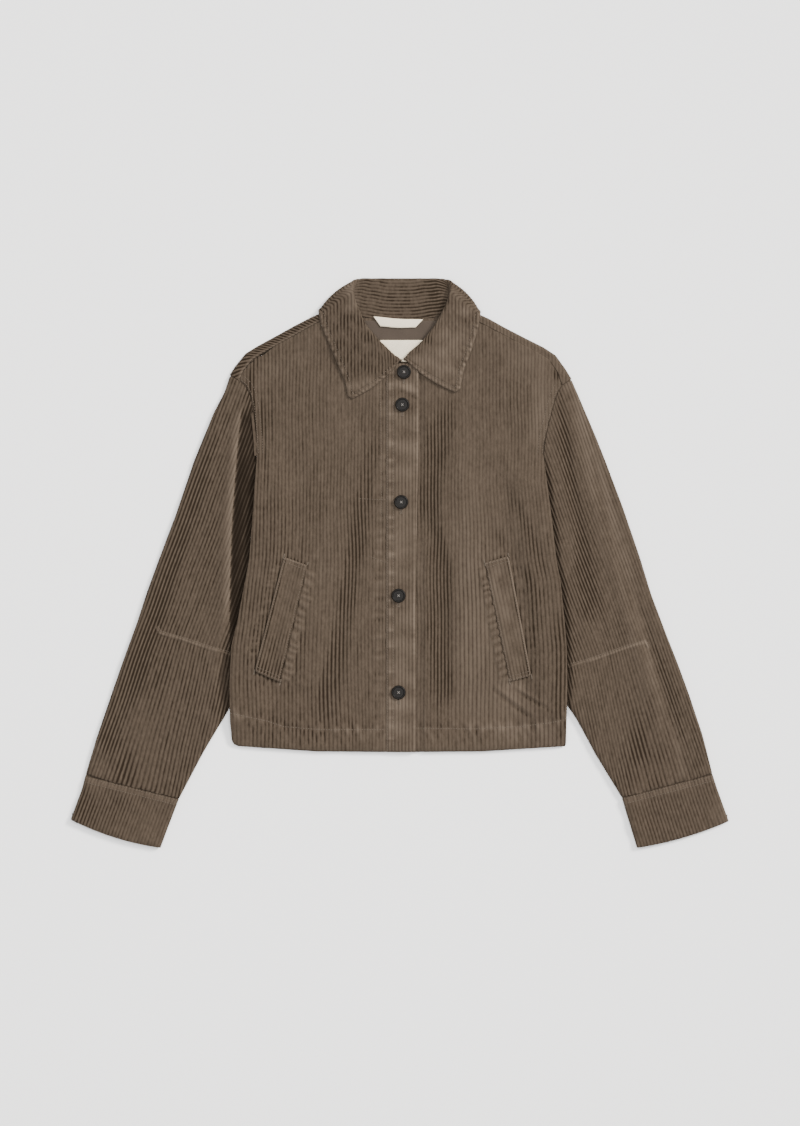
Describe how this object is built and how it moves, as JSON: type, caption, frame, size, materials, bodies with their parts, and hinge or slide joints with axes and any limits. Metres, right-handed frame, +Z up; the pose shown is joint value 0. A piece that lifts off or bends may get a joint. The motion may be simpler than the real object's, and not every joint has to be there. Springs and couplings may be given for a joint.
{
  "type": "overshirt",
  "caption": "Cropped wide-wale corduroy overshirt laid flat, front up: shirt collar, buttoned placket, slanted welt pockets, set-in sleeves with turned cuffs.",
  "frame": {"origin": "middle of the underside's outline, on the surface that the garment lies on", "axes": "+X towards the wearer's left sleeve, +Y from hem to collar, +Z up from the surface"},
  "size_m": [0.8764, 0.7588, 0.0152],
  "materials": {
    "corduroy": "napped wide-wale pile, matt with a soft sheen on the ridges",
    "facing": "smooth plain weave",
    "tape": "plain woven tape and label",
    "horn": "dark horn-like button, softly polished"
  },
  "bodies": {
    "root": {"back": "corduroy", "front_right": "corduroy", "front_left": "corduroy", "placket": "corduroy", "sleeve_right": "corduroy", "sleeve_left": "corduroy", "cuff_right": "corduroy", "cuff_left": "corduroy", "collar": "corduroy", "neck_facing": "facing", "hanger_loop": "tape", "label": "tape", "welt_right": "corduroy", "welt_left": "corduroy", "button_1": "horn", "button_2": "horn", "button_3": "horn", "button_4": "horn", "button_5": "horn"}
  },
  "joints": []
}
